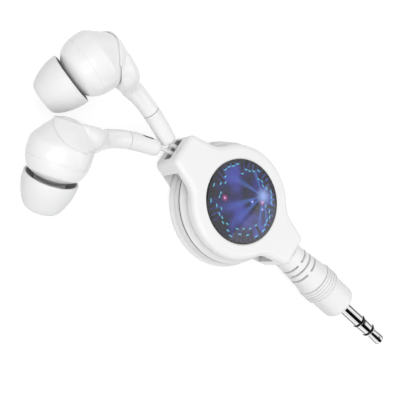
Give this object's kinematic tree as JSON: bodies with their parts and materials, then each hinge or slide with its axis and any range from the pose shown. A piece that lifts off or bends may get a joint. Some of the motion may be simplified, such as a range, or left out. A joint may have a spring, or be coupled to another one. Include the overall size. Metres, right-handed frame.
{
  "type": "retractable wired earphones",
  "caption": "Wired in-ear earphones on a lemon-shaped reel with a spring spool; earbuds with silicone tips leave its mouth, a straight 3.5 mm plug the other end.",
  "frame": {"origin": "centre of the reel's flat rear face, on the spool's axis", "axes": "+Z along the spool's axis, out of the badge; +X towards the plug, which leaves the reel at +X; the earbuds leave the mouth at -X"},
  "size_m": [0.1039, 0.0436, 0.0162],
  "materials": {
    "gloss_white_abs": "glossy moulded ABS",
    "soft_white": "satin moulded TPE",
    "silicone_white": "soft satin silicone",
    "cable_jacket": "satin TPE jacket",
    "spool_white": "satin moulded",
    "badge_ink": "printed film",
    "badge_resin": "clear domed resin",
    "spindle_steel": "bright steel",
    "spring_steel": "oiled spring steel",
    "contact_plating": "polished nickel plating",
    "insulator_black": "moulded insulator",
    "magnet_dark": "sintered, plated",
    "film_amber": "thin film"
  },
  "bodies": {
    "reel": {"rear_cover": "gloss_white_abs", "front_cover": "gloss_white_abs", "badge_print": "badge_ink", "badge_lens": "badge_resin", "spindle": "spindle_steel", "cover_screw": "spindle_steel", "power_spring": "spring_steel", "left_cable_run": "cable_jacket", "right_cable_run": "cable_jacket", "plug_cable_run": "cable_jacket"},
    "spool": {"spool_body": "spool_white", "spool_lid": "spool_white", "cable_pack": "cable_jacket", "cable_outer_turns": "cable_jacket"},
    "lock_ball": {"lock_ball": "spring_steel"},
    "plug_lead": {"plug_lead": "cable_jacket", "strain_relief": "soft_white"},
    "plug": {"plug_grip": "soft_white", "plug_sleeve_contact": "contact_plating", "plug_ring_contact": "contact_plating", "plug_tip_contact": "contact_plating", "plug_rear_insulator": "insulator_black", "plug_front_insulator": "insulator_black"},
    "left_lead": {"left_lead": "cable_jacket"},
    "left_earbud": {"left_body_shell": "gloss_white_abs", "left_petal_arm": "gloss_white_abs", "left_stem_sleeve": "soft_white", "left_stem_cable": "cable_jacket", "left_nozzle_mesh": "spindle_steel", "left_driver_basket": "spindle_steel", "left_magnet": "magnet_dark", "left_diaphragm": "film_amber"},
    "left_tip": {"left_ear_tip": "silicone_white"},
    "right_lead": {"right_lead": "cable_jacket"},
    "right_earbud": {"right_body_shell": "gloss_white_abs", "right_petal_arm": "gloss_white_abs", "right_stem_sleeve": "soft_white", "right_stem_cable": "cable_jacket", "right_nozzle_mesh": "spindle_steel", "right_driver_basket": "spindle_steel", "right_magnet": "magnet_dark", "right_diaphragm": "film_amber"},
    "right_tip": {"right_ear_tip": "silicone_white"}
  },
  "joints": [
    {"name": "spool_turn", "type": "hinge", "parent": "reel", "child": "spool", "pos_m": [0, 0, 0], "axis": [0, 0, 1], "range_deg": [0, 1425]},
    {"name": "lock_ball_slide", "type": "slide", "parent": "reel", "child": "lock_ball", "axis": [-0.1736, 0.9848, 0], "range_m": [0, 0.002]},
    {"name": "plug_pull", "type": "slide", "parent": "reel", "child": "plug_lead", "axis": [1, 0, 0], "range_m": [0, 0.23]},
    {"name": "plug_bend", "type": "hinge", "parent": "plug_lead", "child": "plug", "pos_m": [0.0227, 0, 0.0045], "axis": [0, 0, 1], "range_deg": [-28, 28], "stiffness_Nm_per_rad": 0.01, "deforming": ["strain_relief"]},
    {"name": "left_pull", "type": "slide", "parent": "reel", "child": "left_lead", "axis": [-1, 0, 0], "range_m": [0, 0.2305]},
    {"name": "left_swing", "type": "hinge", "parent": "left_lead", "child": "left_earbud", "pos_m": [-0.0197, 0.0006, 0.0045], "axis": [0, 0, 1], "range_deg": [-30, 4]},
    {"name": "left_tip_off", "type": "slide", "parent": "left_earbud", "child": "left_tip", "axis": [-0.1753, -0.8391, -0.515], "range_m": [0, 0.0055]},
    {"name": "right_pull", "type": "slide", "parent": "reel", "child": "right_lead", "axis": [-1, 0, 0], "range_m": [0, 0.2305]},
    {"name": "right_swing", "type": "hinge", "parent": "right_lead", "child": "right_earbud", "pos_m": [-0.0212, -0.0023, 0.0045], "axis": [0, 0, 1], "range_deg": [-4, 45]},
    {"name": "right_tip_off", "type": "slide", "parent": "right_earbud", "child": "right_tip", "axis": [0.4208, -0.7468, -0.515], "range_m": [0, 0.0055]}
  ],
  "couplings": [
    {"joint": "spool_turn", "follows": "plug_pull", "rad_per_m": 108.11},
    {"joint": "left_pull", "follows": "plug_pull", "ratio": 1},
    {"joint": "right_pull", "follows": "plug_pull", "ratio": 1}
  ]
}
